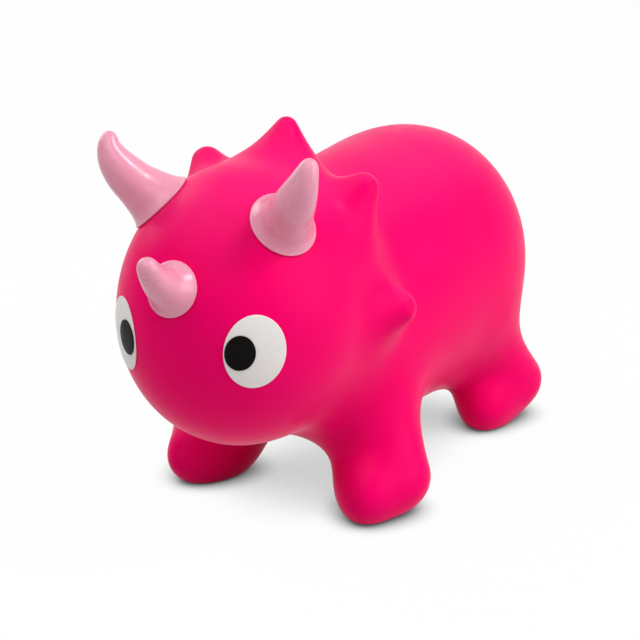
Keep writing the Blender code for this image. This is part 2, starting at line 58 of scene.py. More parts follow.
# Collar: five soft spikes that point away from one focus inside the head
SPIKE_FOCUS = (0.0, -0.0640, 0.1939)
SPIKE_TOP = (0.0, -0.0176, 0.3704)
SPIKE_UPPER = (0.0902, -0.0216, 0.3288)
SPIKE_LOWER = (0.1318, -0.0150, 0.2105)
SPIKE_LENGTH = 0.0527
SPIKE_ROOT_RADIUS = 0.0412
SPIKE_TOP_RADIUS = 0.0105
SPIKE_SIDE_RADIUS = 0.0148
SPIKE_BLEND = 0.028

# Torso: a barrel with round ends, a little fuller towards the rump
TORSO_CENTRE = (0.0, 0.1585, 0.1714)
TORSO_HALF_WIDTH = 0.1201
TORSO_HALF_HEIGHT = 0.1350
TORSO_FRONT_LENGTH = 0.2300
TORSO_REAR_LENGTH = 0.1600
TORSO_SQUARENESS = 2.6
TORSO_SWELL = 0.07
TORSO_SWELL_REACH = 1.2
TORSO_TILT = -0.02
NECK_BLEND = 0.060

# Tail: a short stub on the rump, placed from the rear end of the torso
TAIL_ROOT_OFFSET = (0.0, -0.0285, -0.0214)
TAIL_TIP_OFFSET = (0.0, 0.0335, 0.0046)
TAIL_ROOT_RADIUS = 0.036
TAIL_TIP_RADIUS = 0.012
TAIL_BLEND = 0.040

# Legs: tapered limbs that end in long round feet with the toes turned out
FRONT_HIP = (0.0505, 0.0111, 0.1141)
FRONT_ANKLE = (0.1066, 0.0025, 0.0327)
FRONT_HIP_RADIUS = 0.0449
FRONT_ANKLE_RADIUS = 0.0297
FRONT_FOOT_CENTRE = (0.0859, -0.0165, 0.0266)
FRONT_FOOT_RADII = (0.0310, 0.0500, 0.0348)
FRONT_TOE_OUT = 0.36
FRONT_BLEND = 0.1012
REAR_HIP = (0.0719, 0.2142, 0.1164)
REAR_ANKLE = (0.0952, 0.2727, 0.0382)
REAR_HIP_RADIUS = 0.0278
REAR_ANKLE_RADIUS = 0.0258
REAR_FOOT_CENTRE = (0.0795, 0.2459, 0.0247)
REAR_FOOT_RADII = (0.0308, 0.0511, 0.0367)
REAR_TOE_OUT = 0.20
REAR_BLEND = 0.0599
FOOT_BLEND = 0.045
SOLE_ROUNDING = 0.004

# Vinyl wall and the seats on it
WALL = 0.0025
SEAT_GAP = 0.0004
FIT_GAP = 0.0003

# Brow horns: the bend and the tip are placed from the foot on the head. The right
# one is a little shorter, and its tip offset is given as for the left side
BROW_BASE = (0.0614, -0.1304, 0.3081)
BROW_BEND_OFFSET = (0.0327, -0.0309, 0.0341)
BROW_TIP_OFFSET = (0.0395, -0.0248, 0.0615)
RIGHT_BROW_TIP_OFFSET = (0.0352, -0.0246, 0.0561)
BROW_FOOT_RADIUS = 0.0316
BROW_RADII = (0.0214, 0.0203, 0.0185, 0.0158, 0.0125, 0.0089)
BROW_FLARE_LENGTH = 0.0058

# Nose horn
NOSE_BASE = (0.0, -0.2107, 0.2637)
NOSE_BEND_OFFSET = (0.0, -0.0200, 0.0088)
NOSE_TIP_OFFSET = (0.0, -0.0351, 0.0296)
NOSE_FOOT_RADIUS = 0.0250
NOSE_RADII = (0.0186, 0.0174, 0.0157, 0.0138, 0.0117, 0.0096)
NOSE_FLARE_LENGTH = 0.0050

# Shared make of the horns: stations run from the foot (0) to the tip (1) and crowd
# towards the foot. The round lip turns from its start angle, in degrees
HORN_WALL = 0.0025
HORN_LIP = 0.0026
HORN_LIP_START = -80.0
HORN_LIP_TURN = 170.0
HORN_LIP_STEPS = 8
HORN_FOOT_LAND = 0.0050
HORN_SETTLED = 0.30
HORN_STATIONS = 40
HORN_STATION_POWER = 1.35
HORN_STATIONS_PER_INNER_RING = 4
HORN_SEGMENTS = 72
HORN_TIP_STEPS = 9
ROUND_HANDLE = 0.5523

# Eyes: printed films around a point on the face
EYE_HALF_WIDTH = 0.0285
EYE_HALF_HEIGHT = 0.0345
EYE_LEFT = (0.0685, -0.1883, 0.2125)
EYE_RIGHT = (-0.0598, -0.2004, 0.2087)
PUPIL_HALF_WIDTH = 0.0136
PUPIL_HALF_HEIGHT = 0.0160
PUPIL_INSET = 0.0079
PUPIL_FORWARD = 0.0110
PUPIL_RISE = 0.0009
EYE_SEGMENTS = 112
EYE_RINGS = 20
PUPIL_SEGMENTS = 96
PUPIL_RINGS = 12

# Printed film: its edge is rounded in steps, each a share of the film and of the edge
FILM = 0.0006
FILM_EDGE = 0.0004
FILM_EDGE_STEPS = ((0.4, 0.0), (0.8, 0.3), (1.0, 1.0))

# Valve in the belly
VALVE_Y = 0.135
BOSS_RADIUS = 0.0200
BOSS_PROUD = 0.0015
BOSS_INNER = 0.0045
BOSS_FOOT_STEEPNESS = 0.6
BORE_RADIUS = 0.0100
SEAT_FLANGE_RADIUS = 0.0150
SEAT_FLANGE = 0.0016
SEAT_LENGTH = 0.0150
SEAT_BORE_RADIUS = 0.0046
PLUG_FLANGE_RADIUS = 0.0110
PLUG_FLANGE = 0.0022
PLUG_LENGTH = 0.0132
PLUG_NOSE_STEP = 0.0016
PLUG_WAIST = 0.0006
PLUG_WAIST_HEIGHTS = (0.0030, 0.0042, 0.0066, 0.0078, 0.0096)
PLUG_TAB_REACH = 0.0150
PLUG_TAB_HALF_WIDTH = 0.0040
PLUG_TAB_INSET = 0.0004
PLUG_TAB_STEPS = 12
PLUG_SHARP_ANGLE = 40.0
VALVE_SEGMENTS = 72
VALVE_FILLET = 0.0007
VALVE_FILLET_STEPS = 4

# Grids that the form is meshed on, and how points settle on the form
FIELD_LOW = (-0.162, -0.250, -0.018)
FIELD_HIGH = (0.162, 0.390, 0.400)
SKIN_GRID = 0.0035
CAVITY_GRID = 0.0090
PINCH_ROUNDS = 3
SMOOTHING_ROUNDS = 4
PROBE = 0.0003
LONGEST_STEP = 0.01
LEAST_SLOPE = 0.2

# Camera, as fitted to the photograph, with the target before the part was centred
CAMERA_AZIMUTH = 30.30
CAMERA_ELEVATION = 20.12
CAMERA_DISTANCE = 2.3764
CAMERA_TARGET = (0.0, 0.0399, 0.1565)
PIXELS_PER_METRE = 1052.6
IMAGE_WIDTH = 640
SENSOR_WIDTH = 36.0

# Finishes: colours are linear, and a surface lies between its two shades. The skin's
# painted highlight, a paler pink, starts and is full at these upward parts of the surface normal
SKIN_SHADES = ((0.910, 0.0006, 0.131, 1.0), (0.935, 0.0008, 0.145, 1.0))
SKIN_SPECK = (0.830, 0.0006, 0.112, 1.0)
SKIN_PAINTED_HIGHLIGHT = (0.935, 0.014, 0.176, 1.0)
PAINTED_HIGHLIGHT_START = 0.56
PAINTED_HIGHLIGHT_END = 0.92
HORN_SHADES = ((0.790, 0.292, 0.412, 1.0), (0.825, 0.320, 0.446, 1.0))
WHITE_SHADES = ((0.855, 0.820, 0.795, 1.0), (0.815, 0.780, 0.755, 1.0))
WHITE_ROUGHNESS = 0.42
BLACK_SHADES = ((0.004, 0.003, 0.003, 1.0), (0.002, 0.0015, 0.0015, 1.0))
BLACK_ROUGHNESS = 0.40
SEAT_SHADES = ((0.74, 0.010, 0.13, 1.0), (0.68, 0.008, 0.11, 1.0))
SEAT_ROUGHNESS = 0.50
PLUG_SHADES = ((0.80, 0.80, 0.78, 1.0), (0.76, 0.76, 0.735, 1.0))
PLUG_ROUGHNESS = 0.42

# Light: a dim even dome and six soft disk lamps, all aimed at the object's middle.
# Each lamp has a name, a place, a size across and a power in watts
SKY_LIGHT = 0.02
LIGHTS = (
    ("side_light", (2.3, 0.5, 1.0), 2.2, 35.0),
    ("box_light", (1.3, 0.35, 1.95), 0.6, 19.0),
    ("left_light", (-1.9, 0.3, 1.4), 1.6, 18.5),
    ("top_light", (-0.3, -1.1, 2.0), 2.4, 23.0),
    ("front_light", (0.95, -1.65, 1.9), 1.6, 8.0),
    ("low_light", (-0.9, -2.1, 0.5), 1.0, 3.6),
)
LIGHT_AIM = (0.0, 0.0, 0.16)

# Floor: white, seen mostly as a glow. Painted shade in that glow, from how much of the sky
# the object covers: soft under the belly, darker close to the soles. A painted shade ends
# where this share of the sky is open
FLOOR_RADIUS = 6.0
FLOOR_SIDES = 96
FLOOR_ROUGHNESS = 0.9
FLOOR_SHADES = ((0.93, 0.93, 0.93, 1.0), (0.925, 0.925, 0.928, 1.0))
FLOOR_BOUNCE = (0.65, 0.65, 0.65, 1.0)
FLOOR_GLOW = 0.97
UNDER_SHADE_REACH = 0.11
UNDER_SHADE_END = 0.54
UNDER_SHADE_DARKEST = 0.44
SOLE_SHADE_REACH = 0.032
SOLE_SHADE_END = 0.85
SOLE_SHADE_DARKEST = 0.10
SHADE_SAMPLES = 16


def blend(a, b, width):
    """Join two distance fields with a fillet."""
    h = np.maximum(width - np.abs(a - b), 0.0) / width
    return np.minimum(a, b) - h ** 3 * width / 6.0


def ellipsoid(points, centre, radii):
    """Distance to an ellipsoid, exact on its surface and close to it nearby."""
    q = points - np.array(centre)
    r = np.array(radii)
    k0 = np.linalg.norm(q / r, axis=1)
    k1 = np.linalg.norm(q / (r * r), axis=1)
    return k0 * (k0 - 1.0) / np.maximum(k1, 1e-9)


def tapered(points, start, end, start_radius, end_radius):
    """Distance to a tapered limb with round ends."""
    a = np.array(start, float)
    axis = np.array(end, float) - a
    length = np.linalg.norm(axis)
    axis = axis / length
    rel = points - a
    along = rel @ axis
    across = np.linalg.norm(rel - along[:, None] * axis, axis=1)
    slope = (start_radius - end_radius) / length
    cosine = math.sqrt(max(1.0 - slope * slope, 0.0))
    shift = along * cosine - across * slope
    side = across * cosine + along * slope - start_radius
    low = np.hypot(across, along) - start_radius
    high = np.hypot(across, along - length) - end_radius
    return np.where(shift < 0.0, low, np.where(shift > length * cosine, high, side))


def spike(points, tip, tip_radius):
    """Distance to one collar spike, a tapered limb that points away from the focus."""
    tip = np.array(tip)
    axis = tip - np.array(SPIKE_FOCUS)
    axis = axis / np.linalg.norm(axis)
    end = tip - axis * tip_radius
    root = tip - axis * (tip_radius + SPIKE_LENGTH)
    return tapered(points, root, end, SPIKE_ROOT_RADIUS, tip_radius)


def head(points, mirrored):
    """Distance to the head with its collar. A side spike stands for a mirrored pair."""
    d = ellipsoid(points, HEAD_CENTRE, HEAD_RADII)
    d = blend(d, ellipsoid(points, NAPE_CENTRE, NAPE_RADII), HEAD_BLEND)
    d = blend(d, spike(points, SPIKE_TOP, SPIKE_TOP_RADIUS), SPIKE_BLEND)
    d = blend(d, spike(mirrored, SPIKE_UPPER, SPIKE_SIDE_RADIUS), SPIKE_BLEND)
    return blend(d, spike(mirrored, SPIKE_LOWER, SPIKE_SIDE_RADIUS), SPIKE_BLEND)


def torso(points):
    """Distance to a barrel whose long section is squarer than an ellipse."""
    q = points - np.array(TORSO_CENTRE)
    along = q[:, 1]
    length = np.where(along < 0.0, TORSO_FRONT_LENGTH, TORSO_REAR_LENGTH)
    swell = 1.0 + TORSO_SWELL * np.clip(along / length, -TORSO_SWELL_REACH, TORSO_SWELL_REACH)
    wide = TORSO_HALF_WIDTH * swell
    tall = TORSO_HALF_HEIGHT * swell
    rise = q[:, 2] - TORSO_TILT * along
    section = np.hypot(q[:, 0] / wide, rise / tall) + 1e-9
    reach = np.abs(along) / length + 1e-9
    power = TORSO_SQUARENESS
    total = (section ** power + reach ** power) ** (1.0 / power)
    section_slope = np.hypot(q[:, 0] / wide ** 2, rise / tall ** 2) / section
    steep = np.hypot(section ** (power - 1.0) * section_slope, reach ** (power - 1.0) / length)
    steep = steep * total ** (1.0 - power)
    return (total - 1.0) / np.maximum(steep, 0.1)


def leg(mirrored, hip, ankle, hip_radius, ankle_radius, foot, foot_radii, toe_out):
    """Limb with an ellipsoid foot that is turned about the upright axis."""
    limb = tapered(mirrored, hip, ankle, hip_radius, ankle_radius)
    q = mirrored - np.array(foot)
    cosine = math.cos(toe_out)
    sine = math.sin(toe_out)
    across = cosine * q[:, 0] + sine * q[:, 1]
    along = cosine * q[:, 1] - sine * q[:, 0]
    footed = np.stack((across, along, q[:, 2]), 1)
    return blend(limb, ellipsoid(footed, (0.0, 0.0, 0.0), foot_radii), FOOT_BLEND)


def form(points):
    """Field of the outside of the skin: negative inside, zero on the skin."""
    mirrored = points.copy()
    mirrored[:, 0] = np.abs(points[:, 0])
    body = torso(points)
    rump = np.array(TORSO_CENTRE) + np.array((0.0, TORSO_REAR_LENGTH, 0.0))
    tail = tapered(points, rump + np.array(TAIL_ROOT_OFFSET), rump + np.array(TAIL_TIP_OFFSET),
                   TAIL_ROOT_RADIUS, TAIL_TIP_RADIUS)
    body = blend(body, tail, TAIL_BLEND)
    front = leg(mirrored, FRONT_HIP, FRONT_ANKLE, FRONT_HIP_RADIUS, FRONT_ANKLE_RADIUS,
                FRONT_FOOT_CENTRE, FRONT_FOOT_RADII, FRONT_TOE_OUT)
    body = blend(body, front, FRONT_BLEND)
    rear = leg(mirrored, REAR_HIP, REAR_ANKLE, REAR_HIP_RADIUS, REAR_ANKLE_RADIUS,
               REAR_FOOT_CENTRE, REAR_FOOT_RADII, REAR_TOE_OUT)
    body = blend(body, rear, REAR_BLEND)
    whole = blend(head(points, mirrored), body, NECK_BLEND)
    return -blend(-whole, points[:, 2], SOLE_ROUNDING)


def slope(points):
    """Gradient of the form at these points."""
    grad = np.empty_like(points)
    for axis in range(3):
        step = np.zeros(3)
        step[axis] = PROBE
        grad[:, axis] = (form(points + step) - form(points - step)) / (2.0 * PROBE)
    return grad


def settle(points, level, rounds=6):
    """Move points along the slope of the form until they lie at this height."""
    out = np.array(points, float)
    for _ in range(rounds):
        grad = slope(out)
        size = np.maximum(np.linalg.norm(grad, axis=1), LEAST_SLOPE)
        step = np.clip(form(out) / size - level, -LONGEST_STEP, LONGEST_STEP)
        out -= grad / size[:, None] * step[:, None]
    return out


def normal_at(point):
    """Unit direction straight out of the form at a point."""
    grad = slope(np.array([point]))[0]
    return grad / np.linalg.norm(grad)


def square_corners(values, u, v):
    """Four views of the grid, one for each corner of the squares across u and v."""
    corners = []
    for du, dv in ((0, 0), (1, 0), (1, 1), (0, 1)):
        cut = [slice(None)] * 3
        cut[u] = slice(du, values.shape[u] - 1 + du)
        cut[v] = slice(dv, values.shape[v] - 1 + dv)
        corners.append(values[tuple(cut)])
    return corners


def fill_pinches(values):
    """Fill grid squares whose corners alternate, where two sheets would share an edge."""
    for _ in range(PINCH_ROUNDS):
        for u, v in ((0, 1), (1, 2), (2, 0)):
            corners = square_corners(values, u, v)
            inside = [corner < 0.0 for corner in corners]
            alternate = (inside[0] == inside[2]) & (inside[1] == inside[3])
            pinched = alternate & (inside[0] != inside[1])
            for corner in corners:
                corner[pinched] = np.minimum(corner[pinched], -PROBE)


def net_vertices(values, low, size):
    """One vertex in every grid cell that the surface crosses."""
    inside = values < 0.0
    cells = tuple(n - 1 for n in values.shape)
    total = np.zeros(cells + (3,))
    count = np.zeros(cells)
    for axis in range(3):
        others = [a for a in range(3) if a != axis]
        for first in (0, 1):
            for second in (0, 1):
                start = [0, 0, 0]
                start[others[0]] = first
                start[others[1]] = second
                stop = list(start)
                stop[axis] = 1
                a = tuple(slice(s, s + c) for s, c in zip(start, cells))
                b = tuple(slice(s, s + c) for s, c in zip(stop, cells))
                cut = inside[a] != inside[b]
                span = np.where(cut, values[a] - values[b], 1.0)
                part = np.where(cut, values[a] / span, 0.0)
                for k in range(3):
                    place = part if k == axis else float(start[k])
                    total[..., k] += np.where(cut, place, 0.0)
                count += cut
    used = count > 0
    index = np.full(cells, -1)
    index[used] = np.arange(int(used.sum()))
    corner = np.stack(np.nonzero(used), 1)
    points = low + (corner + total[used] / count[used][:, None]) * size
    return points, index, inside


def net_faces(index, inside):
    """One quad around every grid edge that the surface crosses."""
    faces = []
    for axis in range(3):
        u = (axis + 1) % 3
        v = (axis + 2) % 3
        near = [slice(1, -1)] * 3
        near[axis] = slice(0, -1)
        far = list(near)
        far[axis] = slice(1, None)
        start = inside[tuple(near)]
        end = inside[tuple(far)]
        cut = np.stack(np.nonzero(start != end), 1)
        outward = start[tuple(cut.T)]
        cell = cut + 1
        cell[:, axis] -= 1
        ring = []
        for du, dv in ((1, 1), (0, 1), (0, 0), (1, 0)):
            at = cell.copy()
            at[:, u] -= du
            at[:, v] -= dv
            ring.append(index[tuple(at.T)])
        quad = np.stack(ring, 1)
        faces.append(np.where(outward[:, None], quad, quad[:, ::-1]))
    return np.concatenate(faces)


def neighbour_mean(points, faces):
    """For each point, the middle of the points that share an edge with it."""
    total = np.zeros_like(points)
    count = np.zeros(len(points))
    sides = faces.shape[1]
    for k in range(sides):
        a = faces[:, k]
        b = faces[:, (k + 1) % sides]
        np.add.at(total, a, points[b])
        np.add.at(total, b, points[a])
        np.add.at(count, a, 1.0)
        np.add.at(count, b, 1.0)
    return total / count[:, None]


def form_shell(size, level):
    """Even quads over the form, settled at this height above the skin."""
    low = np.array(FIELD_LOW) - size / 2.0
    steps = np.ceil((np.array(FIELD_HIGH) - low) / size).astype(int) + 1
    axes = [low[k] + size * np.arange(steps[k]) for k in range(3)]
    values = np.empty(tuple(steps))
    for layer, x in enumerate(axes[0]):
        grid = np.stack(np.meshgrid([x], axes[1], axes[2], indexing="ij"), 3)
        values[layer] = form(grid.reshape(-1, 3)).reshape(tuple(steps[1:])) - level
    fill_pinches(values)
    points, index, inside = net_vertices(values, low, size)
    faces = net_faces(index, inside)
    for _ in range(SMOOTHING_ROUNDS):
        points = settle(neighbour_mean(points, faces), level, rounds=2)
    return settle(points, level), faces


def add_object(name, points, faces):
    """Object with a smooth mesh of these points and faces."""
    mesh = bpy.data.meshes.new(name)
    mesh.from_pydata([tuple(p) for p in points], [], [tuple(int(i) for i in f) for f in faces])
    mesh.validate()
    mesh.polygons.foreach_set("use_smooth", [True] * len(mesh.polygons))
    mesh.update()
    obj = bpy.data.objects.new(name, mesh)
    bpy.context.scene.collection.objects.link(obj)
    return obj


def lengthwise_shift():
    """How far the part was moved along Y to centre it, read from the valve seat."""
    low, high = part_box("valve_seat")
    return (low.y + high.y) / 2.0 - VALVE_Y


SHIFT = np.array((0.0, lengthwise_shift(), 0.0))


def opened(points, faces, radius):
    """Faces left round a hole for the valve boss, and the hole's rim in order."""
    from_axis = np.hypot(points[:, 0], points[:, 1] - VALVE_Y)
    near = (from_axis < radius) & (points[:, 2] < TORSO_CENTRE[2])
    kept = faces[~near[faces].any(1)]
    edges = set()
    for side in range(4):
        edges.update(zip(kept[:, side].tolist(), kept[:, (side + 1) % 4].tolist()))
    rim_next = {a: b for a, b in edges if (b, a) not in edges}
    start = min(rim_next)
    rim = [start]
    while rim_next[rim[-1]] != start:
        rim.append(rim_next[rim[-1]])
    return kept, np.array(rim)


def rim_to_circle(points, rim, radius, level):
    """Lay the rim on a circle about the valve, at its height on the form."""
    away = points[rim][:, :2] - np.array((0.0, VALVE_Y))
    away = away / np.linalg.norm(away, axis=1)[:, None]
    points[rim, 0] = away[:, 0] * radius
    points[rim, 1] = away[:, 1] * radius + VALVE_Y
    for _ in range(SMOOTHING_ROUNDS):
        grad = slope(points[rim])
        size = np.linalg.norm(grad, axis=1)
        error = form(points[rim]) / size - level
        points[rim, 2] -= error / grad[:, 2] * size
    return away


def ring_faces(first, second):
    """Quads between two rings of as many points, both given as indices."""
    count = len(first)
    return [(first[k], first[(k + 1) % count], second[(k + 1) % count], second[k])
            for k in range(count)]


def zip_rings(outer, inner, points):
    """Triangles between two rings about the valve with unlike numbers of points."""
    def turned_from(ring):
        place = points[ring]
        angle = np.arctan2(place[:, 1] - VALVE_Y, place[:, 0])
        order = np.argsort(angle)
        return [int(ring[k]) for k in order], angle[order]

    outer, outer_angle = turned_from(np.array(outer))
    inner, inner_angle = turned_from(np.array(inner))
    faces = []
    i = 0
    j = 0
    while i < len(outer) or j < len(inner):
        next_outer = outer_angle[i + 1] if i + 1 < len(outer) else outer_angle[0] + 2.0 * math.pi
        next_inner = inner_angle[j + 1] if j + 1 < len(inner) else inner_angle[0] + 2.0 * math.pi
        a = outer[i % len(outer)]
        b = inner[j % len(inner)]
        if j >= len(inner) or (i < len(outer) and next_outer <= next_inner):
            faces.append((a, outer[(i + 1) % len(outer)], b))
            i += 1
        else:
            faces.append((a, inner[(j + 1) % len(inner)], b))
            j += 1
    return faces


def belly_height():
    """Height of the lowest point of the belly above the floor at the valve."""
    start = np.array([[0.0, VALVE_Y, TORSO_CENTRE[2] - TORSO_HALF_HEIGHT]])
    return settle(start, 0.0, rounds=20)[0][2]


BELLY = belly_height()


def boss_rings():
    """Radius and height of each ring down the boss and up its bore.

    A ring without a height belongs to the foot of the boss and follows the skin.
    """
    low = BELLY - BOSS_PROUD
    return ((BOSS_RADIUS + 0.6 * VALVE_FILLET, None), (BOSS_RADIUS, None),
            (BOSS_RADIUS, low + VALVE_FILLET),
            (BOSS_RADIUS - 0.3 * VALVE_FILLET, low + 0.3 * VALVE_FILLET),
            (BOSS_RADIUS - VALVE_FILLET, low),
            (BORE_RADIUS + VALVE_FILLET, low),
            (BORE_RADIUS, low + VALVE_FILLET), (BORE_RADIUS, BELLY + BOSS_INNER))


def about_valve(away, radius, height):
    """Ring of points about the valve, in these directions."""
    layer = np.empty((len(away), 3))
    layer[:, 0] = away[:, 0] * radius
    layer[:, 1] = away[:, 1] * radius + VALVE_Y
    layer[:, 2] = height
    return layer


def build_skin():
    """Air-tight vinyl skin: outside, inside and the boss with its bore."""
    foot_radius = BOSS_RADIUS + 2.0 * VALVE_FILLET
    points, faces = form_shell(SKIN_GRID, 0.0)
    faces, rim = opened(points, faces, BOSS_RADIUS + SKIN_GRID)
    away = rim_to_circle(points, rim, foot_radius, 0.0)
    inner_points, inner_faces = form_shell(CAVITY_GRID, -WALL)
    inner_faces, inner_rim = opened(inner_points, inner_faces, BOSS_RADIUS + CAVITY_GRID / 2.0)
    inner_away = rim_to_circle(inner_points, inner_rim, BOSS_RADIUS, -WALL)
    rows = [points]
    count = len(points)
    all_faces = [tuple(face) for face in faces]
    ring = list(rim)
    for radius, height in boss_rings():
        if height is None:
            height = points[rim, 2] - BOSS_FOOT_STEEPNESS * (foot_radius - radius)
        rows.append(about_valve(away, radius, height))
        following = list(range(count, count + len(away)))
        all_faces += ring_faces(following, ring)
        ring = following
        count += len(away)
    rows.append(inner_points)
    all_faces += [tuple(int(i) + count for i in face[::-1]) for face in inner_faces]
    inner_ring = [int(i) + count for i in inner_rim]
    count += len(inner_points)
    rows.append(about_valve(inner_away, BOSS_RADIUS, BELLY + BOSS_INNER))
    wide_ring = list(range(count, count + len(inner_away)))
    all_faces += ring_faces(inner_ring, wide_ring)
    whole = np.concatenate(rows)
    all_faces += zip_rings(wide_ring, ring, whole)
    return add_object("vinyl_skin", *used_only(whole + SHIFT, all_faces))


def used_only(points, faces):
    """Leave out the points that no face uses."""
    flat = sorted({int(i) for face in faces for i in face})
    place = {old: new for new, old in enumerate(flat)}
    return points[flat], [tuple(place[int(i)] for i in face) for face in faces]


def close_rings(rings, start, end):
    """Closed surface over a row of equal rings with a point at either end."""
    segments = len(rings[0])
    points = np.concatenate(list(rings) + [np.array([start, end])])
    faces = []
    for r in range(len(rings) - 1):
        faces += ring_faces(range(r * segments, (r + 1) * segments),
                            range((r + 1) * segments, (r + 2) * segments))
    first = len(points) - 2
    last = (len(rings) - 1) * segments
    for k in range(segments):
        n = (k + 1) % segments
        faces.append((first, n, k))
        faces.append((first + 1, last + k, last + n))
    return points, faces


def spine_at(base, bend, tip, s):
    """Point and direction on the curved middle line of a horn."""
    point = (1 - s) ** 2 * base + 2 * s * (1 - s) * bend + s * s * tip
    along = (1 - s) * (bend - base) + s * (tip - bend)
    return point, along / np.linalg.norm(along)


def ring_dirs(along, segments):
    """Unit directions around an axis, the first one nearest to +X."""
    e1 = np.array((1.0, 0.0, 0.0)) - along[0] * along
    e1 = e1 / np.linalg.norm(e1)
    e2 = np.cross(along, e1)
    angles = 2.0 * math.pi * np.arange(segments) / segments
    return np.outer(np.cos(angles), e1) + np.outer(np.sin(angles), e2)


def smooth_value(values, s):
    """Value on a smooth curve through evenly spaced values, for s from 0 to 1."""
    last = len(values) - 1
    place = min(max(s, 0.0), 1.0) * last
    k = min(int(place), last - 1)
    t = place - k
    before = values[k - 1] if k > 0 else 2.0 * values[0] - values[1]
    after = values[k + 2] if k + 2 <= last else 2.0 * values[last] - values[last - 1]
    a = values[k]
    b = values[k + 1]
    return a + 0.5 * t * (b - before + t * (2 * before - 5 * a + 4 * b - after
                                            + t * (3 * (a - b) + after - before)))


def horn_ring(base, bend, tip, s, radius, height):
    """Ring that follows the head near the foot and is flat higher up."""
    out = normal_at(base)
    point, along = spine_at(base, bend, tip, s)
    on_head = settle(base + radius * ring_dirs(out, HORN_SEGMENTS), height)
    drift = point - base
    drift = drift - out * (drift @ out)
    on_head = settle(on_head + drift, height)
    flat = point + radius * ring_dirs(along, HORN_SEGMENTS)
    share = min(max(s / HORN_SETTLED, 0.0), 1.0)
    share = share * share * (3.0 - 2.0 * share)
    return (1.0 - share) * on_head + share * flat


def tip_profile(taper, t):
    """Width and rise of a round tip that starts along the taper of the horn."""
    start = np.array((1.0, 0.0))
    leave = start + ROUND_HANDLE * np.array((-math.sin(taper), math.cos(taper)))
    arrive = np.array((ROUND_HANDLE, 1.0))
    end = np.array((0.0, 1.0))
    return ((1 - t) ** 3 * start + 3 * t * (1 - t) ** 2 * leave
            + 3 * t * t * (1 - t) * arrive + t ** 3 * end)


def build_horn(name, base, bend_offset, tip_offset, foot_radius, radii, flare, mirror):
    """Hollow horn with a round lip, a flared foot and a round tip."""
    base = settle(np.array([base]), 0.0)[0]
    bend = base + np.array(bend_offset)
    tip = base + np.array(tip_offset)
    length = np.linalg.norm(bend - base) + np.linalg.norm(tip - bend)
    out = normal_at(base)
    half = HORN_LIP / 2.0
    spread = foot_radius - half - smooth_value(radii, 0.0)
    outer = []
    for step in range(HORN_LIP_STEPS + 1):
        turn = math.radians(HORN_LIP_START + HORN_LIP_TURN * step / HORN_LIP_STEPS)
        radius = foot_radius - half + half * math.cos(turn)
        outer.append(horn_ring(base, bend, tip, 0.0, radius,
                               SEAT_GAP + half + half * math.sin(turn)))
    inner = [horn_ring(base, bend, tip, 0.0, foot_radius - HORN_FOOT_LAND, SEAT_GAP)]
    for step in range(1, HORN_STATIONS + 1):
        s = (step / HORN_STATIONS) ** HORN_STATION_POWER
        point = spine_at(base, bend, tip, s)[0]
        height = max((point - base) @ out, 0.0) + SEAT_GAP + HORN_LIP * (1.0 - s)
        radius = smooth_value(radii, s) + spread * math.exp(-s * length / flare)
        outer.append(horn_ring(base, bend, tip, s, radius, height))
        if step % HORN_STATIONS_PER_INNER_RING == 0:
            inner.append(horn_ring(base, bend, tip, s, radius - HORN_WALL, height))
    along = spine_at(base, bend, tip, 1.0)[1]
    dirs = ring_dirs(along, HORN_SEGMENTS)
    end_spacing = 2.0 * np.linalg.norm(tip - bend) / (len(radii) - 1)
    taper = math.atan((radii[-2] - radii[-1]) / end_spacing)
    for step in range(1, HORN_TIP_STEPS):
        width, rise = tip_profile(taper, step / HORN_TIP_STEPS)
        outer.append(tip + radii[-1] * (along * rise + dirs * width))
    end = tip + along * radii[-1]
    inner_end = tip + along * (radii[-1] - HORN_WALL)
    points, faces = close_rings(inner[::-1] + outer, inner_end, end)
    if mirror:
        points = points * np.array((-1.0, 1.0, 1.0))
        faces = [face[::-1] for face in faces]
    return add_object(name, points + SHIFT, faces)


def build_film(name, centre, half_width, half_height, level, segments, rings):
    """Thin printed film with a soft edge that follows the head."""
    middle = settle(np.array([centre]), 0.0, rounds=12)[0]
    out = normal_at(middle)
    across = np.cross((0.0, 0.0, 1.0), out)
    across = across / np.linalg.norm(across)
    up = np.cross(out, across)
    angles = 2.0 * math.pi * np.arange(segments) / segments

    def ring(part, height, cut):
        flat = (middle + np.outer(np.cos(angles) * (half_width * part - cut), across)
                + np.outer(np.sin(angles) * (half_height * part - cut), up))
        return settle(flat, height)

    low = [ring(r / rings, level, 0.0) for r in range(1, rings + 1)]
    top = [ring(1.0, level + rise * FILM, inward * FILM_EDGE) for rise, inward in FILM_EDGE_STEPS]
    top += [ring(r / rings, level + FILM, 0.0) for r in range(rings - 1, 0, -1)]
    centre_low = settle(np.array([middle]), level)[0]
    centre_top = settle(np.array([middle]), level + FILM)[0]
    points, faces = close_rings(low + top, centre_low, centre_top)
    return add_object(name, points + SHIFT, faces)


def turned(profile):
    """Rings about the valve, one for each radius and height of the profile."""
    angles = 2.0 * math.pi * np.arange(VALVE_SEGMENTS) / VALVE_SEGMENTS
    away = np.stack((np.cos(angles), np.sin(angles)), 1)
    return [about_valve(away, radius, z) for radius, z in profile]


def rounded(corners, radius, steps=VALVE_FILLET_STEPS):
    """Profile through these corners with a small round at each of them."""
    out = []
    count = len(corners)
    for k in range(count):
        before = np.array(corners[k - 1])
        at = np.array(corners[k])
        after = np.array(corners[(k + 1) % count])
        back = before - at
        ahead = after - at
        reach = min(radius, np.linalg.norm(back) / 2.2, np.linalg.norm(ahead) / 2.2)
        start = at + back / np.linalg.norm(back) * reach
        end = at + ahead / np.linalg.norm(ahead) * reach
        for step in range(steps + 1):
            t = step / steps
            out.append(tuple((1 - t) ** 2 * start + 2 * t * (1 - t) * at + t * t * end))
    return out


